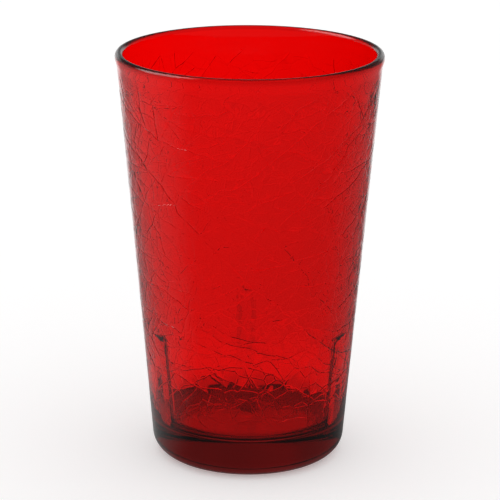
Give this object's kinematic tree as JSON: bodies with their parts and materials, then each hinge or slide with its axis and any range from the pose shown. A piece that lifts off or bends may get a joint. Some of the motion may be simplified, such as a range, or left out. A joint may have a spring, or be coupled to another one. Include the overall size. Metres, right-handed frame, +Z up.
{
  "type": "plastic drinking tumbler",
  "caption": "Tapered see-through red plastic tumbler with a cracked-ice wall texture, a small rounded lip, stacking ribs inside and a thick floor on a recessed foot.",
  "frame": {"origin": "centre of the foot's underside, on the surface that the tumbler stands on", "axes": "+Z up along the tumbler's axis, from the foot to the rim; one stacking rib lies on the +Y side"},
  "size_m": [0.0794, 0.0794, 0.124],
  "materials": {
    "red_clear_plastic": "glossy see-through red, with a cracked-ice relief on the outside of the wall"
  },
  "bodies": {
    "root": {"tumbler": "red_clear_plastic"}
  },
  "joints": []
}
